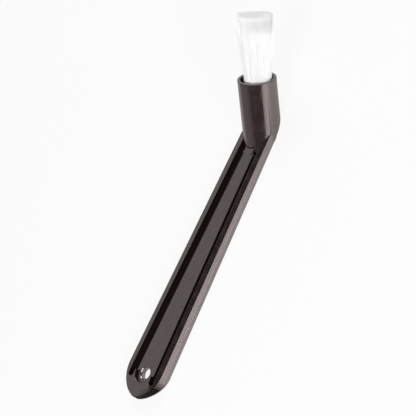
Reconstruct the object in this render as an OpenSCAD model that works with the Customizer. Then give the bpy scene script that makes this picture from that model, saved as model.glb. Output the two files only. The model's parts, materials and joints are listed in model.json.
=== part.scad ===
// Crevice brush: a flat moulded handle with a hang hole, a round socket bent up from its end,
// and a round bundle of nylon bristles bonded into the socket.
// Millimetres. The brush lies on its back face at Z = 0, with the socket pointing up and along +X.

/* [Handle] */
// Distance from the elbow point, where the socket's front line meets the panel, to the hang hole
grip_length = 106; // [80:1:140]
// Width across the handle at the hang hole
nose_width = 22; // [18:0.5:28]
// How far the socket stands out past each side of the handle
elbow_step = 0.1; // [0:0.05:0.5]
// Thickness of the handle at the elbow
elbow_thick = 4.4; // [4:0.1:6]
// Thickness of the handle at the hang hole
nose_thick = 5.6; // [5:0.1:7]
// Distance from the hang hole to the line where the nose starts to narrow, towards the elbow
nose_start = 2; // [0:0.5:6]
// Radius of the arc on each side of the nose
nose_arc = 14; // [13:0.5:18]
// Rounding under the nose
nose_round = 3.4; // [1:0.1:4]
// Rounding of the handle's long edges
edge_round = 0.7; // [0.2:0.1:1]

/* [Front and back faces] */
// Width of the rim along each side
rim_width = 2.9; // [2:0.1:3.5]
// Width of the groove inside each rim
groove_width = 2.8; // [2:0.1:3]
// Depth of the grooves below the rims
groove_depth = 2; // [1.4:0.1:2.2]
// Depth of the centre panel below the rims
panel_depth = 1.3; // [0.5:0.1:1.6]
// How far the grooves run past the hang hole
groove_past_hole = 3.8; // [2:0.1:6]
// Depth of the plain recess in the back face
back_depth = 1.2; // [0.4:0.1:1.6]
// Distance from the elbow point to the end of the back recess
back_recess_end = 8; // [5:1:20]
// Width of the rim round the back recess at the nose
back_nose_rim = 6; // [4:0.2:8]

/* [Hang hole] */
// Diameter of the hang hole
hole_d = 5.1; // [3:0.1:7]
// Width of the flat land between the hang hole and the panel's round end
hole_land = 2.2; // [1:0.1:3]

/* [Socket] */
// Angle between the handle and the socket
bend = 42; // [38:1:50]
// Outer diameter of the socket
socket_d = 17; // [15:0.5:18]
// Wall of the socket
socket_wall = 1.4; // [1:0.1:2]
// Length of the socket's front line, from the panel to the lip
socket_front = 31.4; // [29:0.2:36]
// Plastic left between the bottom of the bore and the handle's back face
bore_floor = 2.5; // [1.5:0.1:4]
// Chamfer on the lip
lip_chamfer = 0.25; // [0.1:0.05:0.4]

/* [Bristles] */
// Length of bristle that shows, along the middle of the bundle
bristle_out = 28.8; // [20:0.2:36]
// How much wider the bundle is at its tips than at its root
flare = 4.8; // [2:0.2:6]
// Lean of the bundle away from the front, from the band up
lean = 3.4; // [0:0.2:4]
// Slope of the trimmed tips, longest at the front
trim_slope = 6; // [0:1:10]
// How much shorter the outermost bristles are
corner_drop = 1.2; // [0:0.1:2]
// Rings of the grid that the strands stand on
rings = 20; // [18:1:22]
// Side of a strand's three-sided section
strand_side = 0.42; // [0.3:0.02:0.46]

/* [Root of the bundle] */
// Thickness of the fused slice that the strands grow from
slice_thick = 1.5; // [1:0.1:2]
// Thickness of resin under the fused slice
resin_floor = 1; // [0.6:0.1:1.6]
// Thickness of resin round the band
resin_wall = 0.95; // [0.6:0.05:1.2]
// Height of the resin bed in the bore
resin_height = 6; // [4:0.2:8]
// Wall of the band that binds the bundle
band_wall = 0.4; // [0.3:0.05:0.6]
// Height of the band
band_height = 4; // [3:0.2:5]
// Gap between round faces that fit into each other
fit_gap = 0.05; // [0.03:0.01:0.08]

/* [Hidden] */
$fn = 96;
over = 1;
layer = 0.01;

// Places along the handle: X = 0 is the elbow point until the whole part is moved to its origin
socket_r = socket_d / 2;
bore_r = socket_r - socket_wall;
along = [cos(bend), 0, sin(bend)];
across = [-sin(bend), 0, cos(bend)];
elbow_point = [0, 0, elbow_thick - panel_depth];
mouth = elbow_point + socket_front * along - socket_r * across;
foot_x = mouth.x - mouth.z / tan(bend);
elbow_half = socket_r - elbow_step;
nose_half = nose_width / 2;
hole_x = -grip_length;
nose_x = hole_x + nose_start;
arc_off = nose_arc - nose_half;
nose_tip_x = nose_x - sqrt(nose_arc * nose_arc - arc_off * arc_off);
front_slope = atan((nose_thick - elbow_thick) / grip_length);
panel_end_r = hole_d / 2 + hole_land;

// Places along the socket: Z = 0 is the lip, negative inside
bore_depth = (mouth.z - bore_floor - bore_r * cos(bend)) / sin(bend);
root_z = resin_floor - bore_depth;
strand_z = root_z + slice_thick;
band_top = root_z + band_height;
resin_r = bore_r - fit_gap;
band_r = resin_r - resin_wall - fit_gap;
root_r = band_r - band_wall - fit_gap;
tip_r = root_r + flare / 2;
lean_shift = (bristle_out - band_top) * tan(lean);
far_tip = [tip_r + lean_shift, 0, bristle_out - corner_drop - tip_r * tan(trim_slope)];
far_x = mouth.x - far_tip.x * across.x + far_tip.z * along.x;
origin_x = (nose_tip_x + far_x) / 2;

// Half width of the handle at a place along it
function half_width(x) =
    elbow_half + (nose_half - elbow_half) * (foot_x - x) / (foot_x - nose_x);

// Outline of the handle drawn in by `side` along the sides and by `nose` round the nose
function outline(end_x, side, nose, steps = 14) =
    let (
        r = nose_arc - nose,
        tip = acos(arc_off / r),
        left = [for (i = [0 : steps])
            let (a = 90 + tip * i / steps)
            [nose_x + r * cos(a), min(r * sin(a) - arc_off, half_width(nose_x + r * cos(a)) - side)]],
        bend_pts = [for (p = left) [p.x, max(p.y, 0)]]
    )
    concat(
        [[end_x, half_width(end_x) - side]],
        bend_pts,
        [for (i = [steps - 1 : -1 : 0]) [bend_pts[i].x, -bend_pts[i].y]],
        [[end_x, side - half_width(end_x)]]
    );

// How far a rounded edge of radius r is drawn in at height z above the face
function drawn_in(r, z) = z >= r ? 0 : r - sqrt(r * r - (r - z) * (r - z));

// Moves a shape from below Z = 0 to below the sloping front face
module on_front() {
    translate([0, 0, elbow_thick]) rotate([0, front_slope, 0]) children();
}

// Heights of the layers that round an edge of radius r, from the face inwards
function round_levels(r) = [for (a = [0 : 22.5 : 90]) r * (1 - cos(a))];

module handle_blank() {
    hull() {
        for (z = concat(round_levels(edge_round), round_levels(nose_round)))
            translate([0, 0, z])
                linear_extrude(layer)
                    polygon(outline(
                        foot_x + z / tan(bend),
                        drawn_in(edge_round, z),
                        drawn_in(nose_round, z)
                    ));
        for (z = round_levels(edge_round))
            on_front() translate([0, 0, -z - layer])
                linear_extrude(layer)
                    polygon(outline(
                        foot_x + (elbow_thick - z) / tan(bend),
                        drawn_in(edge_round, z),
                        drawn_in(edge_round, z)
                    ));
    }
}

// Strip between two lines that keep their distance from the handle's sides, ending at x
module strip(x, inner, outer) {
    polygon([
        [foot_x + socket_r, half_width(foot_x + socket_r) - outer],
        [x, half_width(x) - outer],
        [x, half_width(x) - inner],
        [foot_x + socket_r, half_width(foot_x + socket_r) - inner]
    ]);
}

module groove_outline() {
    groove_end = hole_x - groove_past_hole + groove_width / 2;
    for (side = [0, 1])
        mirror([0, side]) {
            strip(groove_end, rim_width, rim_width + groove_width);
            translate([groove_end, half_width(groove_end) - rim_width - groove_width / 2])
                circle(d = groove_width);
        }
}

module panel_outline() {
    strip_half = half_width(hole_x) - rim_width - groove_width / 2;
    polygon([
        [foot_x + socket_r, half_width(foot_x + socket_r) - rim_width - groove_width / 2],
        [hole_x, strip_half],
        [hole_x, -strip_half],
        [foot_x + socket_r, rim_width + groove_width / 2 - half_width(foot_x + socket_r)]
    ]);
    translate([hole_x, 0]) circle(r = panel_end_r);
}

module front_cuts() {
    on_front() {
        translate([0, 0, -panel_depth]) linear_extrude(panel_depth + over) panel_outline();
        translate([0, 0, -groove_depth]) linear_extrude(groove_depth + over) groove_outline();
    }
}

module back_cut() {
    translate([0, 0, -over])
        linear_extrude(back_depth + over)
            polygon(outline(-back_recess_end, rim_width, back_nose_rim));
}

// Places children with Z along the socket's axis and Z = 0 at its lip; X points to the back
module at_socket() {
    translate(mouth) rotate([0, 90 - bend, 0]) children();
}

module socket_body() {
    length = (mouth.z + socket_r * cos(bend)) / sin(bend) + over;
    box_x = length + socket_d;
    intersection() {
        at_socket() {
            translate([0, 0, -length]) cylinder(r = socket_r, h = length - lip_chamfer);
            translate([0, 0, -lip_chamfer])
                cylinder(r1 = socket_r, r2 = socket_r - lip_chamfer, h = lip_chamfer);
        }
        translate([foot_x - box_x, -socket_d, 0]) cube([2 * box_x, 2 * socket_d, 2 * box_x]);
    }
}

module handle() {
    color([0.2, 0.17, 0.17])
        translate([-origin_x, 0, 0])
            difference() {
                union() {
                    difference() {
                        handle_blank();
                        front_cuts();
                        back_cut();
                    }
                    socket_body();
                }
                at_socket() translate([0, 0, -bore_depth]) cylinder(r = bore_r, h = bore_depth + over);
                translate([hole_x, 0, -over]) cylinder(d = hole_d, h = nose_thick + 2 * over);
            }
}

// The strands stand on a grid of triangles in rings, [a, b] counted along two sides of a hexagon
function ring_of(a, b) = max(abs(a), abs(b), abs(a + b));
function row_first(b) = max(-rings, -rings - b);
function row_last(b) = min(rings, rings - b);
function row_points(b) = row_last(b) - row_first(b) + 1;
row_start = [for (i = 0, n = 0; i <= 2 * rings; n = n + row_points(i - rings), i = i + 1) n];
function grid_index(a, b) = row_start[b + rings] + a - row_first(b);

// Sixths of a turn from +X to a grid point
function turn_of(a, b, k) =
    a + b == k && b < k ? b / k
    : b == k && -a < k ? 1 - a / k
    : a == -k && b > 0 ? 2 + (k - b) / k
    : a + b == -k && b > -k ? 3 - b / k
    : b == -k && a < k ? 4 + a / k
    : 5 + (b + k) / k;

// Place of a grid point on a disc of radius 1
function on_disc(a, b) =
    let (k = ring_of(a, b))
    k == 0 ? [0, 0] : k / rings * [cos(60 * turn_of(a, b, k)), sin(60 * turn_of(a, b, k))];

// Grid point number m of the outer ring
function rim_point(m) =
    let (s = floor(m / rings), j = m % rings, k = rings)
    s == 0 ? [k - j, j]
    : s == 1 ? [-j, k]
    : s == 2 ? [-k, k - j]
    : s == 3 ? [j - k, -j]
    : s == 4 ? [j, -k]
    : [k, j - k];

// A strand stands on every third upright triangle, so no two strands share a corner
function stands(a, b) =
    (a - b) % 3 == 0 && ring_of(a, b) < rings && ring_of(a + 1, b) < rings && ring_of(a, b + 1) < rings;
function corners(a, b) = [[a, b], [a + 1, b], [a, b + 1]];
function mean3(p) = (p[0] + p[1] + p[2]) / 3;

// Step from the middle of a strand to its edge, in the direction of d
function to_edge(d) = d / norm(d) * strand_side / sqrt(3);

// Base triangle of the strand that holds the grid point, or the point itself
function base_of(a, b) =
    stands(a, b) ? [a, b] : stands(a - 1, b) ? [a - 1, b] : stands(a, b - 1) ? [a, b - 1] : undef;

// Middle of a strand on a disc of radius 1, and the middle of its tip
function strand_mid(a, b) = mean3([for (p = corners(a, b)) on_disc(p.x, p.y)]);
function tip_middle(mid, i) =
    let (
        r = norm(mid),
        stray = 0.1 * [cos(137.5 * i), sin(137.5 * i)],
        p = tip_r * mid + stray + [lean_shift, 0],
        length = bristle_out - corner_drop * pow(r, 6) - 0.25 * (1 + sin(77 * i)) / 2
    )
    [p.x, p.y, length - (p.x - lean_shift) * tan(trim_slope)];

// Faces of a three-sided stretch of strand between the point numbers in `low` and in `high`
function tube_faces(low, high) =
    [for (j = [0 : 2])
        let (n = (j + 1) % 3)
        each [[low[j], low[n], high[n]], [low[j], high[n], high[j]]]];

module bristle_strands() {
    cells = [for (b = [-rings : rings]) for (a = [row_first(b) : row_last(b)]) [a, b]];
    bases = [for (c = cells) if (stands(c.x, c.y)) c];
    mids = [for (c = bases) strand_mid(c.x, c.y)];
    // Corner triangles of the grid are widened to the strand's section
    top = [for (c = cells)
        let (base = base_of(c.x, c.y), p = on_disc(c.x, c.y) * root_r)
        if (base == undef) [p.x, p.y, strand_z]
        else
            let (
                m = strand_mid(base.x, base.y) * root_r,
                out = to_edge(p - m)
            )
            [m.x + out.x, m.y + out.y, strand_z]];
    bottom = [for (m = [0 : 6 * rings - 1])
        let (c = rim_point(m), p = on_disc(c.x, c.y) * root_r)
        [p.x, p.y, root_z]];
    shafts = [for (i = [0 : len(bases) - 1])
        let (
            c = bases[i],
            m = mids[i],
            dirs = [for (p = corners(c.x, c.y)) to_edge(on_disc(p.x, p.y) - m)],
            bound = [m.x * root_r, m.y * root_r, band_top],
            tip = tip_middle(m, i)
        )
        each concat(
            [for (d = dirs) bound + [d.x, d.y, 0]],
            [for (d = dirs) tip + [d.x, d.y, 0]]
        )];
    bottom_at = len(top);
    shafts_at = bottom_at + len(bottom);
    around = 6 * rings;

    flats = concat(
        [for (c = cells)
            if (ring_of(c.x + 1, c.y) <= rings && ring_of(c.x, c.y + 1) <= rings && !stands(c.x, c.y))
            [for (p = corners(c.x, c.y)) grid_index(p.x, p.y)]],
        [for (c = cells)
            if (ring_of(c.x + 1, c.y) <= rings && ring_of(c.x + 1, c.y - 1) <= rings)
            [grid_index(c.x, c.y), grid_index(c.x + 1, c.y - 1), grid_index(c.x + 1, c.y)]]
    );
    sides = [for (i = [0 : len(bases) - 1])
        let (
            foot = [for (p = corners(bases[i].x, bases[i].y)) grid_index(p.x, p.y)],
            bound = [for (j = [0 : 2]) shafts_at + 6 * i + j],
            tip = [for (j = [3 : 5]) shafts_at + 6 * i + j]
        )
        each concat(tube_faces(foot, bound), tube_faces(bound, tip), [tip])];
    wall = [for (m = [0 : around - 1])
        let (
            n = (m + 1) % around,
            p = rim_point(m),
            q = rim_point(n),
            u = grid_index(p.x, p.y),
            v = grid_index(q.x, q.y)
        )
        each [[bottom_at + m, bottom_at + n, v], [bottom_at + m, v, u]]];
    floor_fan = [for (m = [1 : around - 2]) [bottom_at, bottom_at + m + 1, bottom_at + m]];
    outward = concat(flats, sides, wall, floor_fan);
    echo(strands = len(bases), triangles = len(outward));
    polyhedron(
        points = concat(top, bottom, shafts),
        faces = [for (f = outward) [f[2], f[1], f[0]]]
    );
}

module bristle_bundle() {
    color([0.96, 0.96, 0.95])
        translate([-origin_x, 0, 0]) at_socket() bristle_strands();
}

module ring_piece(inner, outer, height) {
    difference() {
        cylinder(r = outer, h = height);
        translate([0, 0, -over]) cylinder(r = inner, h = height + 2 * over);
    }
}

module binding_band() {
    color([0.85, 0.83, 0.78])
        translate([-origin_x, 0, 0])
            at_socket() translate([0, 0, root_z])
                ring_piece(root_r + fit_gap, band_r, band_height);
}

module resin_bed() {
    color([0.8, 0.7, 0.45])
        translate([-origin_x, 0, 0])
            at_socket() translate([0, 0, -bore_depth])
                difference() {
                    cylinder(r = resin_r, h = resin_height);
                    translate([0, 0, resin_floor]) cylinder(r = band_r + fit_gap, h = resin_height);
                }
}

handle();
bristle_bundle();
binding_band();
resin_bed();
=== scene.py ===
"""Crevice brush: a grooved plastic handle, a round socket bent up from its end, and a round bundle of nylon
bristles. Metres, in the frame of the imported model: the brush lies on its back at Z = 0, socket towards +X."""

import json
import math
import random

import bmesh
import bpy
import numpy as np
from bpy.props import FloatProperty, FloatVectorProperty, IntProperty, PointerProperty
from mathutils import Matrix, Vector


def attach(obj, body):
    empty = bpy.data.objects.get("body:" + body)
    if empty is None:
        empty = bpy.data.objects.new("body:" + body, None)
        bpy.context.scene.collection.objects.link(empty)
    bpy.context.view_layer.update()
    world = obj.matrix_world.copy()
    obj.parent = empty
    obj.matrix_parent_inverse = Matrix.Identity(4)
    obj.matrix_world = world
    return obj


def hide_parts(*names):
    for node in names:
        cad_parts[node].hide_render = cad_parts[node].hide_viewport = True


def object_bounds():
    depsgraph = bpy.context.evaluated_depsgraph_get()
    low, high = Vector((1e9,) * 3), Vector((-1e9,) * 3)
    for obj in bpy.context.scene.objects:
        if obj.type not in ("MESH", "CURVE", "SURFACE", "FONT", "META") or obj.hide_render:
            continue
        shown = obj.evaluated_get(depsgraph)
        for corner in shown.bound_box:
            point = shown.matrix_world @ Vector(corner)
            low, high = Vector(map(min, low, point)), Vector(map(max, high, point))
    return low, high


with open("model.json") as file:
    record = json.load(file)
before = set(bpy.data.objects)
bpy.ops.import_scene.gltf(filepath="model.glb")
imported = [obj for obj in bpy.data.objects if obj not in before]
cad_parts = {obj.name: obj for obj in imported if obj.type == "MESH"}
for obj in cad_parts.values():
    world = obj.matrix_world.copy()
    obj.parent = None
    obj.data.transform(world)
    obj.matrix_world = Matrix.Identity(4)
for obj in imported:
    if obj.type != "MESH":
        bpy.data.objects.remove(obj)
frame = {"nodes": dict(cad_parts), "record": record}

bl_info = {
    "name": "Crevice Brush",
    "version": (1, 0, 0),
    "blender": (4, 5, 0),
    "location": "View3D > Sidebar > Brush",
    "description": "Builds a crevice brush round its packed model",
    "category": "Add Mesh",
}

MM = 0.001
BRISTLE_SEED = 7
# how far off a place may be and still count as the same point, as level, as on a line, as on the slope
SAME = 0.001 * MM
LEVEL = 0.004 * MM
ON_LINE = 0.01 * MM
ON_SLOPE = 0.02 * MM
# where most values of a noise lie
NOISE_LOW, NOISE_HIGH = 0.3, 0.7
CAD_LOW, CAD_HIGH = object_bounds()
MOUNTS = {mount["name"]: mount for mount in frame["record"]["mounts"]}
HOLE = Vector(MOUNTS["hang_hole"]["pos_m"])
HOLE_RADIUS = MOUNTS["hang_hole"]["dims"]["r_mm"] * MM


def length(name, description, default):
    """A size in metres."""
    return FloatProperty(
        name=name, description=description, default=default, min=0, precision=5, unit="LENGTH")


def angle(name, description, degrees):
    """An angle, given in degrees."""
    return FloatProperty(name=name, description=description, default=math.radians(degrees), unit="ROTATION")


def colour(name, description, default):
    """A plain colour, in linear values."""
    return FloatVectorProperty(name=name, description=description, default=default, size=3, subtype="COLOR")


def share(name, description, default):
    """A number from 0 to 1."""
    return FloatProperty(name=name, description=description, default=default, min=0, max=1, subtype="FACTOR")


def power(name, description, default):
    """A lamp's power in watts."""
    return FloatProperty(name=name, description=description, default=default, min=0, unit="POWER")


class HandleSizes(bpy.types.PropertyGroup):
    """Sizes of the flat handle"""

    grip_length: length("Grip length", "From the elbow point to the hang hole", 106 * MM)
    nose_width: length("Nose width", "Width across the handle near the hang hole", CAD_HIGH.y - CAD_LOW.y)
    elbow_width: length("Elbow width", "Width across the handle at the socket's foot", 16.8 * MM)
    elbow_thick: length("Elbow thickness", "Thickness at the elbow", 4.4 * MM)
    nose_thick: length("Nose thickness", "Thickness at the hang hole", 5.6 * MM)
    nose_start: length("Nose start", "From the hang hole to where the nose starts to narrow", 2 * MM)
    nose_arc: length("Nose arc", "Radius of the arc on each side of the nose", 14 * MM)
    nose_round: length("Nose rounding", "Rounding under the nose", 3.4 * MM)
    parting: length("Parting height", "Height of the mould's parting line", 2.3 * MM)
    parting_land: length("Parting land", "Height of the narrow land at the parting line", 0.05 * MM)
    ledge: length("Ledge", "How far the front half steps in above the land", 0.1 * MM)
    ledge_height: length("Ledge height", "Height of the sloping ledge above the land", 0.28 * MM)
    draft: length("Draft", "How far the front face is drawn in from the parting line", 0.3 * MM)
    back_draft: length("Back draft", "How far the back face is drawn in from the parting line", 0.1 * MM)
    edge_round: length("Edge rounding", "Rounding of the edges", 0.15 * MM)
    rim_drop: length("Rim drop", "How much lower the outer edge of each rim is", 0.2 * MM)
    rim_width: length("Rim width", "Width of the rim along each side", 2.9 * MM)
    groove_width: length("Groove width", "Width of the groove inside each rim", 2.8 * MM)
    groove_depth: length("Groove depth", "Depth of the grooves below the rims", 2 * MM)
    groove_past_hole: length("Groove past hole", "How far the grooves run past the hang hole", 3.8 * MM)
    panel_depth: length("Panel depth", "Depth of the centre panel below the rims", 1.3 * MM)
    elbow_round: length("Elbow rounding", "Size of the curve between the panel and the socket", 2 * MM)
    hole_round: length("Hole rounding", "Rounding of the hang hole's edges", 0.45 * MM)
    hole_land: length("Hole land", "Land between the hang hole and the panel's round end", 2.2 * MM)
    # painted shade: over this length the nose's side darkens towards its tip
    nose_shade_run: length("Nose matt", "Length over which the nose's side turns matt", 3.2 * MM)
    back_depth: length("Back depth", "Depth of the recess in the back face", 1.2 * MM)
    back_end: length("Back recess end", "From the elbow point to the end of the back recess", 8 * MM)
    back_nose_rim: length("Back nose rim", "Rim round the back recess at the nose", 6 * MM)


class SocketSizes(bpy.types.PropertyGroup):
    """Sizes of the round socket"""

    bend: angle("Bend", "Angle between the handle and the socket", 42)
    diameter: length("Diameter", "Outer diameter of the socket", 17 * MM)
    wall: length("Wall", "Wall of the socket", 1.4 * MM)
    front: length("Front line", "Length of the socket's front line, from the panel to the lip", 31.4 * MM)
    bore_floor: length("Bore floor", "Plastic left under the bottom of the bore", 2.5 * MM)
    heel_round: length("Heel rounding", "Rounding of the heel's edge", 0.8 * MM)


class BristleSizes(bpy.types.PropertyGroup):
    """Sizes of the bristle bundle"""

    count: IntProperty(name="Bristles", description="Number of bristles", default=5400, min=100, max=6000)
    thickness: length("Thickness", "Diameter of one bristle", 0.165 * MM)
    length_out: length("Length", "Length that shows, along the middle of the bundle", 28.8 * MM)
    root_radius: length("Root radius", "Radius of the bundle at its root", 5.6 * MM)
    slice_thick: length("Slice thickness", "Thickness of the fused slice at the root", 1.5 * MM)
    resin_floor: length("Resin floor", "Resin under the fused slice", 1 * MM)
    band_height: length("Band height", "Height of the band round the root", 4 * MM)
    flare: length("Flare", "How much wider the bundle is at its tips", 4.8 * MM)
    lean: angle("Lean", "Lean of the bundle away from the front", 3.4)
    trim_slope: angle("Trim slope", "Slope of the trimmed tips", 6)
    corner_drop: length("Corner drop", "How much shorter the outermost bristles are", 0.9 * MM)
    corner_lift: length("Corner lift", "How much longer the bristles at two sides are", 1.1 * MM)
    lift_from: angle("Lift direction", "Direction in the bundle along which nothing is longer", 44)
    shorter: length("Shorter", "Left off every bristle, so that the longest stay inside the model", 0.75 * MM)
    uneven: length("Uneven", "How far the tips are from one another's level", 0.3 * MM)
    wave: length("Wave", "How far a bristle bows on its way to the tip", 0.22 * MM)
    stray: length("Stray", "How far a tip strays from its place", 0.3 * MM)


class Finish(bpy.types.PropertyGroup):
    """Colours and gloss"""

    plastic: colour("Plastic", "Brown-black moulded plastic", (0.007, 0.0026, 0.0026))
    plastic_dust: colour("Dust", "Colour of the faint haze on the plastic", (0.014, 0.006, 0.006))
    # painted shade: this darker colour goes on every face marked with painted shade, which are the grooves, the
    # wall round the panel's end, the nose's side near its tip and the roundings at the mouth, the socket's foot
    # and the rims
    groove: colour("Groove", "Plastic in the matt grooves", (0.004, 0.0014, 0.0014))
    gloss_tint: colour("Gloss tint", "Tint of what the plastic mirrors", (1, 0.84, 0.83))
    plastic_roughness: share("Plastic roughness", "Roughness of the plastic", 0.13)
    groove_roughness: share("Groove roughness", "Roughness in the matt grooves", 0.6)
    grip_gloss: share("Grip gloss", "Gloss of the grip where its grain is dullest", 0.84)
    socket_gloss: share("Socket gloss", "Gloss of the socket", 0.76)
    groove_gloss: share("Groove gloss", "Gloss in the matt grooves", 0.03)
    nylon: colour("Nylon", "Colour of the bristles", (0.975, 0.975, 0.97))
    nylon_shadow: colour("Nylon shadow", "Colour of the darker bristles", (0.92, 0.92, 0.915))
    resin: colour("Resin", "Amber resin", (0.55, 0.38, 0.16))
    film: colour("Film", "Binding film", (0.72, 0.68, 0.6))


class StudioSizes(bpy.types.PropertyGroup):
    """Camera, lamps and floor"""

    azimuth: angle("Azimuth", "Direction that the camera looks from", -5.25)
    elevation: angle("Elevation", "Height of the camera above the horizon", 44.87)
    roll: angle("Roll", "Turn of the camera about its own line of sight", 61.56)
    distance: length("Distance", "From the camera to the point that it looks at", 0.7057)
    aim: FloatVectorProperty(
        name="Aim", description="Point that the camera looks at", default=(0.9 * MM, 3.7 * MM, 8 * MM),
        size=3, precision=5, subtype="TRANSLATION", unit="LENGTH")
    lens: FloatProperty(
        name="Lens", description="Focal length in millimetres", default=140.81, min=1, unit="CAMERA")
    key_power: power("Key power", "Power of the high lamp on the nose's side", 7.2)
    fill_power: power("Fill power", "Power of the high lamp on the socket's side", 6.3)
    front_power: power("Front power", "Power of the low lamp on the camera's side", 8)
    floor_size: length("Floor size", "Side of the floor", 6)
    floor_grey: share("Floor grey", "Grey of the floor where it is lit paper", 0.62)
    floor_roughness: share("Floor roughness", "Roughness of that paper", 0.3)
    floor_white: share("Floor white", "Share of the floor that is plain white to the camera", 0.88)
    floor_gloss: share("Floor in gloss", "Share of it that is plain white in what gloss mirrors", 0.6)
    gloss_level: share("Level in gloss", "Brightness of that white in what gloss mirrors", 0.66)
    room_level: share("Room level", "Brightness of the room behind the brush", 0.29)
    room_dark: share("Dark side", "Brightness of the room on the camera's side, as a share", 0.25)
    room_top: share("Top", "Brightness of the room overhead, as a share", 0.07)


class BrushSettings(bpy.types.PropertyGroup):
    """All the sizes of the brush"""

    handle: PointerProperty(type=HandleSizes)
    socket: PointerProperty(type=SocketSizes)
    bristles: PointerProperty(type=BristleSizes)
    finish: PointerProperty(type=Finish)
    studio: PointerProperty(type=StudioSizes)


def settings():
    """The values that all the steps read."""
    return bpy.context.scene.brush


class Layout:
    """Places along the handle and the socket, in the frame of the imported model."""

    def __init__(self):
        handle, socket, bristles = settings().handle, settings().socket, settings().bristles
        self.elbow_x = HOLE.x + handle.grip_length
        self.nose_x = HOLE.x + handle.nose_start
        self.along = Vector((math.cos(socket.bend), 0, math.sin(socket.bend)))
        self.across = Vector((-math.sin(socket.bend), 0, math.cos(socket.bend)))
        self.radius = socket.diameter / 2
        self.bore_radius = self.radius - socket.wall
        elbow_point = Vector((self.elbow_x, 0, handle.elbow_thick - handle.panel_depth))
        self.mouth = elbow_point + socket.front * self.along - self.radius * self.across
        self.foot_x = self.mouth.x - self.mouth.z / math.tan(socket.bend)
        to_floor = (self.mouth.z - socket.bore_floor) / math.sin(socket.bend)
        self.bore_depth = to_floor - self.bore_radius / math.tan(socket.bend)
        self.nose_half = handle.nose_width / 2
        self.elbow_half = handle.elbow_width / 2
        self.arc_offset = handle.nose_arc - self.nose_half
        self.nose_tip_x = self.nose_x - math.sqrt(handle.nose_arc ** 2 - self.arc_offset ** 2)
        self.taper = math.atan((self.nose_half - self.elbow_half) / (self.foot_x - self.nose_x))
        self.front_slope = math.atan((handle.nose_thick - handle.elbow_thick) / handle.grip_length)
        self.root_z = bristles.resin_floor - self.bore_depth

    def half_width(self, x):
        """Half the handle's width at a place along it."""
        return self.elbow_half + (self.foot_x - x) * math.tan(self.taper)

    def front_z(self, x):
        """Height of the front face at a place along the handle."""
        return settings().handle.elbow_thick + (self.elbow_x - x) * math.tan(self.front_slope)

    def from_axis(self, place):
        """Distance of a place from the socket's axis."""
        offset = place - self.mouth
        return (offset - offset.dot(self.along) * self.along).length

    def on_socket(self, place):
        """Whether a place is on the socket and not on the handle."""
        slack = 0.1 * MM
        return place.x > self.elbow_x - MM and self.from_axis(place) < self.radius + slack

    def from_socket(self):
        """Matrix that takes the socket's own axes (X to the back, Z out of the mouth) to the frame."""
        to_back = -self.across
        return Matrix.Translation(self.mouth) @ Matrix((
            (to_back.x, 0, self.along.x), (0, 1, 0), (to_back.z, 0, self.along.z),
        )).to_4x4()


def start_piece(name):
    """An empty mesh at the origin, open in edit mode."""
    bpy.ops.object.select_all(action="DESELECT")
    piece = bpy.data.objects.new(name, bpy.data.meshes.new(name))
    bpy.context.scene.collection.objects.link(piece)
    bpy.context.view_layer.objects.active = piece
    piece.select_set(True)
    bpy.ops.object.mode_set(mode="EDIT")
    return piece


def close_piece(piece):
    """Back to object mode, with the faces pointing outwards."""
    bpy.ops.mesh.select_all(action="SELECT")
    bpy.ops.mesh.remove_doubles(threshold=SAME)
    bpy.ops.mesh.normals_make_consistent(inside=False)
    bpy.ops.object.mode_set(mode="OBJECT")
    return piece


def make_active(piece):
    """Selects just this piece, for the operators of object mode."""
    bpy.ops.object.select_all(action="DESELECT")
    bpy.context.view_layer.objects.active = piece
    piece.select_set(True)


def pick(piece, kind, test):
    """Selects just the vertices, edges or faces whose middle passes the test."""
    bpy.ops.mesh.select_mode(type=kind)
    bpy.ops.mesh.select_all(action="DESELECT")
    mesh = bmesh.from_edit_mesh(piece.data)
    if kind == "VERT":
        chosen = [v for v in mesh.verts if test(v.co)]
    elif kind == "EDGE":
        chosen = [e for e in mesh.edges if test((e.verts[0].co + e.verts[1].co) / 2)]
    else:
        chosen = [f for f in mesh.faces if test(f.calc_center_median())]
    for part in chosen:
        part.select_set(True)
    mesh.select_flush_mode()
    bmesh.update_edit_mesh(piece.data)
    if not chosen:
        raise RuntimeError(f"{piece.name}: nothing passes the test")


def apply_modifiers(piece):
    """Applies the modifiers in their order."""
    make_active(piece)
    for modifier in list(piece.modifiers):
        bpy.ops.object.modifier_apply(modifier=modifier.name)


def combine(piece, tool, operation):
    """Joins, cuts or trims the piece with a closed tool, which is then deleted."""
    modifier = piece.modifiers.new("combine", "BOOLEAN")
    modifier.operation = operation
    modifier.solver = "EXACT"
    modifier.object = tool
    apply_modifiers(piece)
    bpy.data.objects.remove(tool)


def flatten_faces(piece):
    """Merges the flat faces that cuts have split."""
    make_active(piece)
    bpy.ops.object.mode_set(mode="EDIT")
    bpy.ops.mesh.select_all(action="SELECT")
    bpy.ops.mesh.remove_doubles(threshold=LEVEL)
    bpy.ops.mesh.dissolve_limited(angle_limit=math.radians(0.4))
    bpy.ops.object.mode_set(mode="OBJECT")


def move(vector):
    """Moves what is selected."""
    bpy.ops.transform.translate(value=vector)


def new_material(name):
    """A material with one plain shader, and that shader."""
    material = bpy.data.materials.new(name)
    material.use_nodes = True
    nodes = material.node_tree.nodes
    nodes.clear()
    shader = nodes.new("ShaderNodeBsdfPrincipled")
    output = nodes.new("ShaderNodeOutputMaterial")
    material.node_tree.links.new(shader.outputs["BSDF"], output.inputs["Surface"])
    return material, shader


def set_sockets(shader, values):
    """Sets what is the same all over the surface."""
    for name, value in values.items():
        shader.inputs[name].default_value = value


def read_mark(tree, name):
    """A number that the mesh carries."""
    node = tree.nodes.new("ShaderNodeAttribute")
    node.attribute_name = name
    return node.outputs["Fac"]


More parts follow.
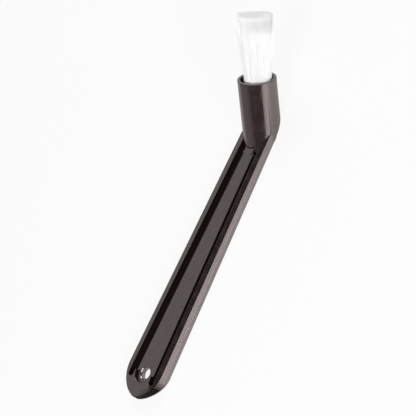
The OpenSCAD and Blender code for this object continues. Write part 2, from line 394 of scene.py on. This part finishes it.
def blend(tree, factor, low, high, kind="FLOAT"):
    """Goes from low to high with the factor; each of the two is a value or another node's output."""
    node = tree.nodes.new("ShaderNodeMix")
    node.data_type = kind
    tree.links.new(factor, node.inputs["Factor"])
    for name, value in (("A", low), ("B", high)):
        if isinstance(value, bpy.types.NodeSocket):
            tree.links.new(value, node.inputs[name])
        else:
            node.inputs[name].default_value = value
    return node.outputs["Result"]


def object_noise(tree, scale, stretch=(1, 1, 1), detail=3.0):
    """Noise in the object's own coordinates, in features per metre."""
    place = tree.nodes.new("ShaderNodeTexCoord")
    mapping = tree.nodes.new("ShaderNodeMapping")
    mapping.inputs["Scale"].default_value = stretch
    noise = tree.nodes.new("ShaderNodeTexNoise")
    noise.inputs["Scale"].default_value = scale
    noise.inputs["Detail"].default_value = detail
    tree.links.new(place.outputs["Object"], mapping.inputs["Vector"])
    tree.links.new(mapping.outputs["Vector"], noise.inputs["Vector"])
    return noise.outputs["Fac"]


def ramp(tree, factor, stops):
    """Colour ramp; each stop is a place and a colour."""
    node = tree.nodes.new("ShaderNodeValToRGB")
    tree.links.new(factor, node.inputs["Fac"])
    points = node.color_ramp.elements
    while len(points) < len(stops):
        points.new(0.5)
    for point, (place, tint) in zip(points, stops):
        point.position = place
        point.color = (*tint, 1)
    return node.outputs["Color"]


def spread(tree, factor, low, high):
    """Maps the middle of a noise to the range from low to high."""
    node = tree.nodes.new("ShaderNodeMapRange")
    set_sockets(node, {"From Min": NOISE_LOW, "From Max": NOISE_HIGH, "To Min": low, "To Max": high})
    tree.links.new(factor, node.inputs["Value"])
    return node.outputs["Result"]


def bump(tree, shader, height, depth):
    """Fine relief of the given depth in metres."""
    node = tree.nodes.new("ShaderNodeBump")
    set_sockets(node, {"Strength": 1, "Distance": depth})
    tree.links.new(height, node.inputs["Height"])
    tree.links.new(node.outputs["Normal"], shader.inputs["Normal"])


def moulded_plastic():
    """Dark plastic, glossy with a fine grain along the handle. Where the mesh carries its mark of painted
    shade, the plastic is dull, darker and almost without reflection.
    """
    finish = settings().finish
    material, shader = new_material("moulded_plastic")
    tree = material.node_tree
    matt_and_shade = read_mark(tree, "matt_and_shade")
    polish = read_mark(tree, "polish")
    flow = object_noise(tree, scale=700, stretch=(0.08, 1, 1), detail=4)
    grain = object_noise(tree, scale=1100, stretch=(0.2, 1, 1), detail=5)
    scuffs = object_noise(tree, scale=240, detail=6)
    smoother, rougher = 0.04, 0.07
    tint = ramp(tree, flow, [(0.35, finish.plastic), (0.75, finish.plastic_dust)])
    gloss = blend(tree, polish, finish.socket_gloss, spread(tree, grain, finish.grip_gloss, 1))
    rough = spread(tree, scuffs, finish.plastic_roughness - smoother, finish.plastic_roughness + rougher)
    # the mark paints shade: a darker colour, more roughness and hardly any gloss on the faces that carry it
    marked = {
        "Base Color": blend(tree, matt_and_shade, tint, (*finish.groove, 1), kind="RGBA"),
        "Roughness": blend(tree, matt_and_shade, rough, finish.groove_roughness),
        "Specular IOR Level": blend(tree, matt_and_shade, gloss, finish.groove_gloss),
        "Coat Weight": polish,
    }
    for name, value in marked.items():
        tree.links.new(value, shader.inputs[name])
    set_sockets(shader, {"IOR": 2.34, "Specular Tint": (*finish.gloss_tint, 1)})
    set_sockets(shader, {"Coat Roughness": 0.1, "Coat IOR": 1.6})
    bump(tree, shader, object_noise(tree, scale=1500, stretch=(0.3, 1, 1)), depth=0.008 * MM)
    return material


def nylon():
    """White nylon; each bristle has its own shade."""
    finish = settings().finish
    material, shader = new_material("nylon")
    tree = material.node_tree
    shade = read_mark(tree, "bristle_shade")
    tint = ramp(tree, shade, [(0, finish.nylon_shadow), (0.6, finish.nylon)])
    tree.links.new(tint, shader.inputs["Base Color"])
    rough = spread(tree, object_noise(tree, scale=1500), low=0.32, high=0.46)
    tree.links.new(rough, shader.inputs["Roughness"])
    set_sockets(shader, {"IOR": 1.53, "Subsurface Weight": 0.2})
    set_sockets(shader, {"Subsurface Radius": (1, 1, 1), "Subsurface Scale": 0.6 * MM})
    return material


def cured_resin():
    """Amber resin, set with a slightly uneven face."""
    finish = settings().finish
    material, shader = new_material("cured_resin")
    tree = material.node_tree
    deep = tuple(0.7 * value for value in finish.resin)
    tint = ramp(tree, object_noise(tree, scale=500), [(NOISE_LOW, deep), (NOISE_HIGH, finish.resin)])
    tree.links.new(tint, shader.inputs["Base Color"])
    rough = spread(tree, object_noise(tree, scale=900), low=0.08, high=0.22)
    tree.links.new(rough, shader.inputs["Roughness"])
    set_sockets(shader, {"Subsurface Weight": 0.4, "Subsurface Scale": MM})
    bump(tree, shader, object_noise(tree, scale=600), depth=0.03 * MM)
    return material


def binding_film():
    """Thin film, streaked round the bundle."""
    finish = settings().finish
    material, shader = new_material("binding_film")
    tree = material.node_tree
    dull = tuple(0.8 * value for value in finish.film)
    streaks = object_noise(tree, scale=400, stretch=(1, 1, 6))
    tint = ramp(tree, streaks, [(NOISE_LOW, dull), (NOISE_HIGH, finish.film)])
    tree.links.new(tint, shader.inputs["Base Color"])
    rough = spread(tree, object_noise(tree, scale=1200), low=0.3, high=0.45)
    tree.links.new(rough, shader.inputs["Roughness"])
    bump(tree, shader, object_noise(tree, scale=1500, stretch=(1, 1, 8)), depth=0.01 * MM)
    return material


def by_ray(tree, values):
    """A number that depends on the kind of ray, 0 for every other kind."""
    path = tree.nodes.new("ShaderNodeLightPath")
    total = None
    for kind, value in values.items():
        part = tree.nodes.new("ShaderNodeMath")
        part.operation = "MULTIPLY"
        part.inputs[1].default_value = value
        tree.links.new(path.outputs[kind], part.inputs[0])
        if total is not None:
            both = tree.nodes.new("ShaderNodeMath")
            both.operation = "MAXIMUM"
            tree.links.new(total, both.inputs[0])
            tree.links.new(part.outputs[0], both.inputs[1])
            part = both
        total = part.outputs[0]
    return total


def add_blank(at):
    """The handle without its cuts, drawn in from its parting line towards the front and the back."""
    handle = settings().handle
    past_foot = 8 * MM
    blank = start_piece("handle_blank")
    end_x = at.foot_x + past_foot
    bpy.ops.mesh.primitive_plane_add(size=MM, location=(end_x, at.half_width(end_x), handle.parting))
    bpy.ops.mesh.merge(type="CENTER")
    to_nose = Vector((at.nose_x - end_x, at.nose_half - at.half_width(end_x), 0))
    bpy.ops.mesh.extrude_region_move(TRANSFORM_OT_translate={"value": to_nose})
    tip_angle = math.acos(at.arc_offset / handle.nose_arc)
    arc_middle = (at.nose_x, -at.arc_offset, handle.parting)
    bpy.ops.mesh.spin(steps=18, angle=tip_angle, center=arc_middle, axis=(0, 0, -1))
    if min(v.co.x for v in bmesh.from_edit_mesh(blank.data).verts) > at.nose_x - MM:
        raise RuntimeError("the nose was spun the wrong way")
    bpy.ops.object.mode_set(mode="OBJECT")
    mirror = blank.modifiers.new("mirror", "MIRROR")
    mirror.use_axis = (False, True, False)
    mirror.merge_threshold = ON_LINE
    apply_modifiers(blank)
    bpy.ops.object.mode_set(mode="EDIT")
    bpy.ops.mesh.select_mode(type="VERT")
    bpy.ops.mesh.select_all(action="SELECT")
    bpy.ops.mesh.remove_doubles(threshold=ON_LINE)
    pick(blank, "VERT", lambda p: p.x > end_x - ON_LINE)
    bpy.ops.mesh.edge_face_add()
    bpy.ops.mesh.select_all(action="SELECT")
    bpy.ops.mesh.edge_face_add()
    raise_front(blank, at)
    draw_in_back(blank, at)
    sink_recess(blank, at)
    # the end is cut along the socket's axis, inside the socket
    bpy.ops.mesh.select_all(action="SELECT")
    bpy.ops.mesh.bisect(plane_co=(at.foot_x, 0, 0), plane_no=-at.across, use_fill=True, clear_outer=True)
    return close_piece(blank)


def raise_front(blank, at):
    """Raises the front half from the flat outline: a land, a ledge, a drafted side and a sloping rim."""
    handle = settings().handle
    bpy.ops.mesh.select_all(action="SELECT")
    bpy.ops.mesh.extrude_region_move(TRANSFORM_OT_translate={"value": (0, 0, handle.parting_land)})
    land_z = handle.parting + handle.parting_land
    ledge_z = land_z + handle.ledge_height
    rim_z = handle.elbow_thick - handle.rim_drop
    bpy.ops.mesh.select_all(action="SELECT")
    bpy.ops.mesh.normals_make_consistent(inside=False)
    pick(blank, "FACE", lambda p: p.z > land_z - ON_LINE)
    bpy.ops.mesh.inset(thickness=handle.ledge, depth=handle.ledge_height)
    bpy.ops.mesh.inset(thickness=handle.draft - handle.ledge, depth=rim_z - ledge_z)
    bpy.ops.mesh.inset(thickness=handle.rim_width - handle.draft, depth=handle.rim_drop)
    slope_front(blank, at, lambda p: p.z > rim_z - ON_SLOPE)


def draw_in_back(blank, at):
    """Steps the back half down and in, most of all under the nose."""
    handle = settings().handle
    steps = 6
    reach = at.nose_x - at.nose_tip_x
    drawn_before, z_before = 0, handle.parting
    for step in range(1, steps + 1):
        z = handle.parting * (1 - math.sin(math.pi / 2 * step / steps))
        drawn = handle.nose_round - math.sqrt(handle.nose_round ** 2 - (handle.nose_round - z) ** 2)
        drafted = handle.back_draft * (z_before - z) / handle.parting
        pick(blank, "FACE", lambda p: p.z < z_before + LEVEL)
        bpy.ops.mesh.inset(thickness=drafted, depth=z_before - z)
        squeeze = (reach - drawn) / (reach - drawn_before)
        pick(blank, "VERT", lambda p: p.z < z + LEVEL and p.x < at.nose_x - ON_LINE)
        bpy.ops.transform.resize(value=(squeeze, 1, 1), center_override=(at.nose_x, 0, z))
        drawn_before, z_before = drawn, z


def sink_recess(blank, at):
    """Sinks the recess into the back, with a wider rim at the nose and a square end before the elbow."""
    handle = settings().handle
    pick(blank, "FACE", lambda p: p.z < LEVEL)
    bpy.ops.mesh.inset(thickness=handle.rim_width - handle.back_draft, depth=0)
    inset_nose = at.nose_tip_x + handle.nose_round + handle.rim_width
    recess_reach = math.sqrt((handle.nose_arc - handle.back_nose_rim) ** 2 - at.arc_offset ** 2)
    squeeze = recess_reach / (at.nose_x - inset_nose)
    narrow = (at.nose_half - handle.back_nose_rim) / (at.nose_half - handle.rim_width)
    floor = next(f for f in bmesh.from_edit_mesh(blank.data).faces if f.select)
    for v in floor.verts:
        if v.co.x < at.nose_x + MM:
            v.co.x = at.nose_x + (v.co.x - at.nose_x) * squeeze
            v.co.y *= narrow
        elif v.co.x > at.elbow_x:
            slide = at.elbow_x - handle.back_end - v.co.x
            v.co.y += math.copysign(-slide * math.tan(at.taper), v.co.y)
            v.co.x += slide
    bmesh.update_edit_mesh(blank.data)
    bpy.ops.mesh.extrude_region_move(TRANSFORM_OT_translate={"value": (0, 0, handle.back_depth)})


def slope_front(piece, at, test):
    """Lifts what passes the test more and more towards the nose, as the front face rises."""
    handle = settings().handle
    pick(piece, "VERT", test)
    for v in bmesh.from_edit_mesh(piece.data).verts:
        if v.select:
            v.co.z += (at.elbow_x - v.co.x) * math.tan(at.front_slope)
    bmesh.update_edit_mesh(piece.data)


def groove_tool(at, side):
    """A bar with round ends that runs beside the rim, deep enough to cut the groove."""
    handle = settings().handle
    end_x = HOLE.x - handle.groove_past_hole + handle.groove_width / 2
    end_y = side * (at.half_width(end_x) - handle.rim_width - handle.groove_width / 2)
    tool = start_piece("groove_tool")
    height = handle.nose_thick
    bpy.ops.mesh.primitive_cylinder_add(
        vertices=28, radius=handle.groove_width / 2, depth=height,
        location=(end_x, end_y, handle.elbow_thick - handle.groove_depth + height / 2))
    run = at.foot_x + at.radius - end_x
    pick(tool, "VERT", lambda p: p.x > end_x - ON_LINE)
    move((run, -side * run * math.tan(at.taper), 0))
    slope_front(tool, at, lambda p: True)
    return close_piece(tool)


def panel_tool(at):
    """A tapered slab over the centre panel."""
    handle = settings().handle
    tool = start_piece("panel_tool")
    height = handle.nose_thick
    end_x = at.foot_x + at.radius
    middle = ((HOLE.x + end_x) / 2, 0, handle.elbow_thick - handle.panel_depth + height / 2)
    bpy.ops.mesh.primitive_cube_add(size=1, location=middle)
    bpy.ops.transform.resize(value=(end_x - HOLE.x, 1, height), center_override=middle)
    for x in (HOLE.x, end_x):
        half = at.half_width(x) - handle.rim_width - handle.groove_width / 2
        pick(tool, "VERT", lambda p: abs(p.x - x) < MM)
        bpy.ops.transform.resize(value=(1, 2 * half, 1), center_override=middle)
    slope_front(tool, at, lambda p: True)
    return close_piece(tool)


def round_tool(radius, low, high):
    """An upright cylinder at the hang hole."""
    tool = start_piece("round_tool")
    bpy.ops.mesh.primitive_cylinder_add(
        vertices=64, radius=radius, depth=high - low, location=(HOLE.x, 0, (low + high) / 2))
    return tool


def add_socket(at):
    """The socket's cylinder, cut off at the back face, with its heel rounded."""
    socket = settings().socket
    body = start_piece("socket_body")
    reach = at.mouth.z / math.sin(socket.bend) + 2 * at.radius
    bpy.ops.mesh.primitive_cylinder_add(
        vertices=112, radius=at.radius, depth=reach,
        location=at.mouth - at.along * reach / 2, rotation=(0, math.pi / 2 - socket.bend, 0))
    bpy.ops.mesh.bisect(plane_co=(0, 0, 0), plane_no=(0, 0, 1), use_fill=True, clear_inner=True)
    pick(body, "EDGE", lambda p: p.z < SAME and p.x > at.foot_x + MM)
    bpy.ops.mesh.bevel(offset=socket.heel_round, segments=6, affect="EDGES")
    return close_piece(body)


def bore_tool(at):
    """A cylinder that cuts the bore."""
    socket = settings().socket
    tool = start_piece("bore_tool")
    past_mouth = MM
    depth = at.bore_depth + past_mouth
    bpy.ops.mesh.primitive_cylinder_add(
        vertices=96, radius=at.bore_radius, depth=depth,
        location=at.mouth + at.along * (past_mouth - depth / 2), rotation=(0, math.pi / 2 - socket.bend, 0))
    return close_piece(tool)


def finish_edges(piece, width):
    """Rounds every sharp edge and shades the piece smooth."""
    bevel = piece.modifiers.new("rounding", "BEVEL")
    bevel.width = width
    bevel.segments = 3
    bevel.limit_method = "ANGLE"
    bevel.angle_limit = math.radians(24)
    bevel.use_clamp_overlap = False
    bevel.miter_outer = "MITER_ARC"
    apply_modifiers(piece)
    bpy.ops.object.shade_smooth_by_angle(angle=math.radians(32))
    weighted = piece.modifiers.new("weighted", "WEIGHTED_NORMAL")
    weighted.keep_sharp = True
    weighted.weight = 80
    apply_modifiers(piece)


def rest_on_back(piece):
    """Flattens what the rounding has pushed out below the back face."""
    bpy.ops.object.mode_set(mode="EDIT")
    pick(piece, "VERT", lambda p: p.z < 0)
    bpy.ops.transform.resize(value=(1, 1, 0), center_override=(0, 0, 0))
    bpy.ops.object.mode_set(mode="OBJECT")


def round_elbow(piece, at):
    """Fills the corner between the centre panel and the socket with a soft curve."""
    handle = settings().handle
    chord = 0.03 * MM

    def in_corner(p):
        above_panel = p.z - at.front_z(p.x) + handle.panel_depth
        return abs(at.from_axis(p) - at.radius) < chord and abs(above_panel) < ON_SLOPE

    bpy.ops.object.mode_set(mode="EDIT")
    pick(piece, "EDGE", in_corner)
    bpy.ops.mesh.bevel(offset=handle.elbow_round, segments=6, affect="EDGES")
    bpy.ops.object.mode_set(mode="OBJECT")


def crease_ledge(piece):
    """Keeps both edges of the ledge above the parting line crisp."""
    handle = settings().handle
    land_z = handle.parting + handle.parting_land
    ledge_z = land_z + handle.ledge_height
    bpy.ops.object.mode_set(mode="EDIT")
    pick(piece, "EDGE", lambda p: min(abs(p.z - land_z), abs(p.z - ledge_z)) < LEVEL)
    bpy.ops.mesh.mark_sharp()
    bpy.ops.object.mode_set(mode="OBJECT")


def round_hole(piece):
    """Rounds both ends of the hang hole."""
    upright = 0.5 * MM
    bpy.ops.object.mode_set(mode="EDIT")
    pick(piece, "EDGE", lambda p: abs((p - HOLE).xy.length - HOLE_RADIUS) < ON_SLOPE)
    for edge in bmesh.from_edit_mesh(piece.data).edges:
        if edge.select and abs(edge.verts[0].co.z - edge.verts[1].co.z) > upright:
            edge.select_set(False)
    bpy.ops.mesh.bevel(offset=settings().handle.hole_round, segments=4, affect="EDGES")
    bpy.ops.object.mode_set(mode="OBJECT")


def shade_and_dull_share(at, middle, normal):
    """How much painted shade a face gets, which also makes it dull, with a darker colour and almost no
    reflection. The roundings at the socket's mouth and foot and along the rims get it in full, darkened where
    they would glint; so do the grooves and the wall round the panel's end, as painted shade in those hollows;
    and the nose's side gets more of it towards its tip, as painted shade near the floor."""
    handle = settings().handle
    slack = 0.1 * MM
    straight, level, side, upright = 0.97, 0.95, 0.6, 0.25
    past_elbow = 4 * MM
    depth = at.front_z(middle.x) - middle.z
    inside = at.half_width(middle.x) - handle.rim_width - abs(middle.y)
    from_hole = (middle - HOLE).xy.length - HOLE_RADIUS
    from_wall = at.from_axis(middle) - at.radius
    from_mouth = (middle - at.mouth).dot(at.along)
    at_mouth = from_mouth > -handle.edge_round and abs(normal.dot(at.along)) < straight
    sloping = upright < normal.z < level and middle.x < at.foot_x
    at_rim = sloping and -slack < depth < handle.rim_drop + 2 * slack
    on_rim = inside < 0 and -2 * slack < depth < handle.rim_drop + slack
    at_foot = on_rim and 2 * SAME < from_wall < handle.edge_round + ON_LINE
    # painted shade in full on the roundings at the mouth, the foot and the rims, darkening their glints
    if at_mouth or at_rim or at_foot:
        return 1.0
    below_rim = ON_SLOPE < depth < handle.groove_depth + slack
    on_panel = normal.z > straight and depth < handle.panel_depth + 2 * slack
    if below_rim and not on_panel:
        groove_start = HOLE.x - handle.groove_past_hole - 3 * slack
        in_groove = -1.6 * slack < inside < handle.groove_width + 1.2 * slack
        # painted shade in the grooves
        if in_groove and groove_start < middle.x < at.elbow_x + past_elbow:
            return 1.0
        # painted shade on the wall round the panel's end
        if abs(from_hole - handle.hole_land) < 2 * slack:
            return 1.0
    # painted shade on the nose's side, growing towards its tip
    if normal.z < side and from_hole > handle.hole_land:
        return min(max((at.nose_x - middle.x) / handle.nose_shade_run - 1, 0), 1)
    return 0.0


def mark_faces(piece, name, values):
    """Gives each face a number for the material."""
    attribute = piece.data.attributes.new(name, "FLOAT", "FACE")
    attribute.data.foreach_set("value", values)


def mark_shade_and_dull(piece, at):
    """Marks how much painted shade, which also dulls the plastic, each face gets, and with 1 each face of the
    handle that is polished.
    """
    fewest = 10
    faces = piece.data.polygons
    marks = [shade_and_dull_share(at, face.center, face.normal) for face in faces]
    if sum(marks) < fewest:
        raise RuntimeError("the grooves weren't found")
    # the mark of painted shade, read by the plastic's material
    mark_faces(piece, "matt_and_shade", marks)
    dull = [mark > 0 or at.on_socket(face.center) for mark, face in zip(marks, faces)]
    mark_faces(piece, "polish", [0.0 if off else 1.0 for off in dull])


class BRUSH_OT_handle(bpy.types.Operator):
    """Models the handle and its socket, which are one moulding"""

    bl_idname = "brush.handle"
    bl_label = "Handle"

    def execute(self, context):
        handle = settings().handle
        at = Layout()
        piece = add_blank(at)
        piece.name = piece.data.name = "grip_and_socket"
        combine(piece, panel_tool(at), "DIFFERENCE")
        low = handle.elbow_thick - handle.panel_depth
        land = round_tool(HOLE_RADIUS + handle.hole_land, low, low + handle.nose_thick)
        slope_front(land, at, lambda p: True)
        combine(piece, close_piece(land), "DIFFERENCE")
        for side in (1, -1):
            combine(piece, groove_tool(at, side), "DIFFERENCE")
        combine(piece, add_socket(at), "UNION")
        combine(piece, bore_tool(at), "DIFFERENCE")
        hole = round_tool(HOLE_RADIUS, -MM, 2 * handle.nose_thick)
        combine(piece, close_piece(hole), "DIFFERENCE")
        flatten_faces(piece)
        round_elbow(piece, at)
        round_hole(piece)
        crease_ledge(piece)
        finish_edges(piece, handle.edge_round)
        rest_on_back(piece)
        mark_shade_and_dull(piece, at)
        piece.data.materials.clear()
        piece.data.materials.append(moulded_plastic())
        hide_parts("handle")
        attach(piece, "root")
        return {"FINISHED"}


def bristle_pattern(sides, rings):
    """One bristle of length and radius 1, modelled upright: a tube whose tip is drawn in."""
    root_size, growth, tip_size = 0.95, 0.4, 0.8
    near = 0.01
    pattern = start_piece("bristle_pattern")
    bpy.ops.mesh.primitive_circle_add(vertices=sides, radius=1, fill_type="NGON", location=(0, 0, 0))
    for ring in range(rings):
        pick(pattern, "FACE", lambda p: p.z > (ring - 0.5) / rings)
        bpy.ops.mesh.extrude_region_move(TRANSFORM_OT_translate={"value": (0, 0, 1 / rings)})
    for ring in range(1, rings + 1):
        size = root_size + growth * ring / rings if ring < rings else tip_size
        pick(pattern, "VERT", lambda p: abs(p.z - ring / rings) < near)
        bpy.ops.transform.resize(value=(size, size, 1), center_override=(0, 0, ring / rings))
    close_piece(pattern)
    shape = pattern.data.copy()
    bpy.data.objects.remove(pattern)
    return shape


def any_way(draw):
    """A random direction across the bundle."""
    way = draw.uniform(0, 2 * math.pi)
    return np.array([math.cos(way), math.sin(way)])


class BRUSH_OT_bristles(bpy.types.Operator):
    """Models the bundle of bristles, spread in a spiral from its middle"""

    bl_idname = "brush.bristles"
    bl_label = "Bristles"

    def execute(self, context):
        sizes = settings().bristles
        at = Layout()
        shape = bristle_pattern(sides=4, rings=4)
        points = np.array([v.co for v in shape.vertices])
        faces = [list(f.vertices) for f in shape.polygons]
        draw = random.Random(BRISTLE_SEED)
        tip_inset, root_inset, root_stray = 0.3 * MM, 0.97, 0.05 * MM
        drop_power, lift_power, side_power = 12, 2, 4
        band_top = at.root_z + sizes.band_height
        shift = (sizes.length_out - band_top) * math.tan(sizes.lean)
        tip_radius = sizes.root_radius + sizes.flare / 2 - sizes.thickness
        root_limit = sizes.root_radius - 0.6 * sizes.thickness
        start_z = at.root_z + 0.6 * sizes.slice_thick
        all_points, all_faces, shades = [], [], []
        golden = math.pi * (3 - math.sqrt(5))
        for number in range(sizes.count):
            r = math.sqrt((number + 0.5) / sizes.count)
            turn = number * golden
            middle = np.array([math.cos(turn), math.sin(turn)]) * r
            stray = any_way(draw) * abs(draw.gauss(0, sizes.stray))
            bow = any_way(draw) * draw.gauss(0, sizes.wave)
            tip = middle * tip_radius + stray + [shift, 0]
            if np.linalg.norm(tip - [shift, 0]) > tip_radius:
                tip = middle * (tip_radius - draw.uniform(0, tip_inset)) + [shift, 0]
            lift = sizes.corner_lift * r ** lift_power * math.sin(turn - sizes.lift_from) ** side_power
            drop = sizes.corner_drop * r ** drop_power - lift
            drop = drop + abs(draw.gauss(0, sizes.uneven)) + sizes.shorter
            tip_z = sizes.length_out - drop - (tip[0] - shift) * math.tan(sizes.trim_slope)
            root = middle * (sizes.root_radius - sizes.thickness) * draw.uniform(root_inset, 1)
            root = root + [draw.gauss(0, root_stray), draw.gauss(0, root_stray)]
            root = root * min(1, root_limit / np.linalg.norm(root))
            # inside the band a bristle is straight, and above it the bristle leans out to its tip
            z = start_z + (tip_z - start_z) * points[:, 2]
            s = np.clip((z - band_top) / (tip_z - band_top), 0, 1)
            centre = root + np.outer(s, tip - root) + np.outer(np.sin(math.pi * s) * s, bow)
            placed = np.column_stack([centre + points[:, :2] * sizes.thickness / 2, z])
            base = number * len(points)
            all_points.append(placed)
            all_faces.extend([[base + i for i in f] for f in faces])
            shades.extend([draw.random()] * len(points))
        mesh = bpy.data.meshes.new("bristles")
        mesh.from_pydata(np.concatenate(all_points).tolist(), [], all_faces)
        mesh.transform(at.from_socket())
        attribute = mesh.attributes.new("bristle_shade", "FLOAT", "POINT")
        attribute.data.foreach_set("value", shades)
        mesh.materials.append(nylon())
        piece = bpy.data.objects.new("bristles", mesh)
        bpy.context.scene.collection.objects.link(piece)
        make_active(piece)
        bpy.ops.object.shade_smooth()
        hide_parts("bristle_bundle")
        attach(piece, "root")
        return {"FINISHED"}


class BRUSH_OT_root(bpy.types.Operator):
    """Models the slice that the bristles are fused into, and finishes the band and the resin round it"""

    bl_idname = "brush.root"
    bl_label = "Root of the bundle"

    def execute(self, context):
        sizes = settings().bristles
        at = Layout()
        edge_round = 0.2 * MM
        rim = 0.3 * sizes.slice_thick
        piece = start_piece("fused_slice")
        bpy.ops.mesh.primitive_cylinder_add(
            vertices=64, radius=sizes.root_radius, depth=sizes.slice_thick,
            location=(0, 0, at.root_z + sizes.slice_thick / 2))
        for face_z in (at.root_z, at.root_z + sizes.slice_thick):
            pick(piece, "FACE", lambda p: abs(p.z - face_z) < ON_LINE)
            bpy.ops.mesh.inset(thickness=rim, depth=0)
        bpy.ops.object.mode_set(mode="OBJECT")
        piece.data.transform(at.from_socket())
        finish_edges(piece, edge_round)
        piece.data.materials.append(nylon())
        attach(piece, "root")
        for node, material in (("binding_band", binding_film()), ("resin_bed", cured_resin())):
            frame["nodes"][node].data.materials.clear()
            frame["nodes"][node].data.materials.append(material)
        return {"FINISHED"}


def add_floor():
    """Semi-gloss paper; part of it is plain white to the camera and in what gloss mirrors."""
    studio = settings().studio
    bpy.ops.object.select_all(action="DESELECT")
    bpy.ops.mesh.primitive_plane_add(size=studio.floor_size, location=(0, 0, 0))
    floor = bpy.context.active_object
    floor.name = floor.data.name = "floor"
    material, paper = new_material("floor_white")
    tree = material.node_tree
    grey = (studio.floor_grey,) * 3
    set_sockets(paper, {"Base Color": (*grey, 1), "Roughness": studio.floor_roughness})
    kinds = ("Is Camera Ray", "Is Transmission Ray", "Is Glossy Ray")
    glow = tree.nodes.new("ShaderNodeEmission")
    level = by_ray(tree, dict(zip(kinds, (1, 1, studio.gloss_level))))
    tree.links.new(level, glow.inputs["Strength"])
    mix = tree.nodes.new("ShaderNodeMixShader")
    part = by_ray(tree, dict(zip(kinds, (studio.floor_white, studio.floor_white, studio.floor_gloss))))
    tree.links.new(part, mix.inputs["Fac"])
    tree.links.new(paper.outputs["BSDF"], mix.inputs[1])
    tree.links.new(glow.outputs["Emission"], mix.inputs[2])
    tree.links.new(mix.outputs["Shader"], tree.nodes["Material Output"].inputs["Surface"])
    floor.data.materials.append(material)


def add_room():
    """Dim room light, darker on the camera's side and overhead; the camera sees plain white."""
    studio = settings().studio
    world = bpy.data.worlds.new("room")
    world.use_nodes = True
    tree = world.node_tree
    tree.nodes.clear()
    place = tree.nodes.new("ShaderNodeTexCoord")
    split = tree.nodes.new("ShaderNodeSeparateXYZ")
    tree.links.new(place.outputs["Generated"], split.inputs["Vector"])
    halved = tree.nodes.new("ShaderNodeMath")
    halved.operation = "MULTIPLY_ADD"
    halved.inputs[1].default_value = 0.5
    halved.inputs[2].default_value = 0.5
    tree.links.new(split.outputs["Y"], halved.inputs[0])
    dark, dim, plain, top = ((value,) * 3 for value in (studio.room_dark, 0.75, 1, studio.room_top))
    across = ramp(tree, halved.outputs[0], [(0.46, dark), (0.62, dim), (0.8, plain)])
    upwards = ramp(tree, split.outputs["Z"], [(0.735, plain), (0.8, top)])
    light = tree.nodes.new("ShaderNodeMix")
    light.data_type = "RGBA"
    light.blend_type = "MULTIPLY"
    light.inputs["Factor"].default_value = 1
    tree.links.new(across, light.inputs["A"])
    tree.links.new(upwards, light.inputs["B"])
    room = tree.nodes.new("ShaderNodeBackground")
    room.inputs["Strength"].default_value = studio.room_level
    tree.links.new(light.outputs["Result"], room.inputs["Color"])
    white = tree.nodes.new("ShaderNodeBackground")
    path = tree.nodes.new("ShaderNodeLightPath")
    mix = tree.nodes.new("ShaderNodeMixShader")
    output = tree.nodes.new("ShaderNodeOutputWorld")
    tree.links.new(path.outputs["Is Camera Ray"], mix.inputs["Fac"])
    tree.links.new(room.outputs["Background"], mix.inputs[1])
    tree.links.new(white.outputs["Background"], mix.inputs[2])
    tree.links.new(mix.outputs["Shader"], output.inputs["Surface"])
    bpy.context.scene.world = world


def add_lamp(name, power, place, size):
    """A soft lamp that faces the middle of the brush."""
    target = (CAD_LOW + CAD_HIGH) / 2
    data = bpy.data.lights.new(name, "AREA")
    data.shape = "RECTANGLE"
    data.size, data.size_y = size
    data.energy = power
    lamp = bpy.data.objects.new(name, data)
    lamp.location = place
    lamp.rotation_euler = (target - Vector(place)).to_track_quat("-Z", "Y").to_euler()
    bpy.context.scene.collection.objects.link(lamp)


def add_camera():
    """The camera at the place that the studio's angles give it."""
    studio = settings().studio
    back = Vector((
        math.sin(studio.azimuth) * math.cos(studio.elevation),
        -math.cos(studio.azimuth) * math.cos(studio.elevation),
        math.sin(studio.elevation)))
    level_up = (Vector((0, 0, 1)) - back * back.z).normalized()
    level_right = level_up.cross(back)
    up = math.cos(studio.roll) * level_up + math.sin(studio.roll) * level_right
    right = up.cross(back)
    data = bpy.data.cameras.new("camera")
    data.lens = studio.lens
    data.sensor_width = 36
    data.clip_start = 0.01
    camera = bpy.data.objects.new("camera", data)
    turn = Matrix((right, up, back)).transposed().to_4x4()
    camera.matrix_world = Matrix.Translation(Vector(studio.aim) + back * studio.distance) @ turn
    bpy.context.scene.collection.objects.link(camera)
    bpy.context.scene.camera = camera


class BRUSH_OT_stage(bpy.types.Operator):
    """Adds the floor, the room, the lamps and the camera"""

    bl_idname = "brush.stage"
    bl_label = "Stage"

    def execute(self, context):
        studio = settings().studio
        add_floor()
        add_room()
        add_lamp("key", studio.key_power, place=(-0.5, -0.35, 0.85), size=(0.5, 0.5))
        add_lamp("fill", studio.fill_power, place=(0.7, 0.3, 0.65), size=(0.45, 0.45))
        add_lamp("front", studio.front_power, place=(-0.16, -0.9, 0.42), size=(0.5, 0.35))
        add_camera()
        context.scene.view_settings.view_transform = "Standard"
        return {"FINISHED"}


class BRUSH_PT_panel(bpy.types.Panel):
    """Lists the steps that build the brush"""

    bl_label = "Crevice brush"
    bl_idname = "BRUSH_PT_panel"
    bl_space_type = "VIEW_3D"
    bl_region_type = "UI"
    bl_category = "Brush"

    def draw(self, context):
        for step in STEPS:
            self.layout.operator(step.bl_idname)


GROUPS = (HandleSizes, SocketSizes, BristleSizes, Finish, StudioSizes, BrushSettings)
STEPS = (BRUSH_OT_handle, BRUSH_OT_bristles, BRUSH_OT_root, BRUSH_OT_stage)


def register():
    """Adds the classes and the scene's settings."""
    for group in (*GROUPS, *STEPS, BRUSH_PT_panel):
        bpy.utils.register_class(group)
    bpy.types.Scene.brush = PointerProperty(type=BrushSettings)


def unregister():
    """Takes them away again."""
    del bpy.types.Scene.brush
    for group in reversed((*GROUPS, *STEPS, BRUSH_PT_panel)):
        bpy.utils.unregister_class(group)


def main():
    """Builds the brush."""
    register()
    bpy.ops.brush.handle()
    bpy.ops.brush.bristles()
    bpy.ops.brush.root()
    bpy.ops.brush.stage()


if __name__ == "__main__":
    main()
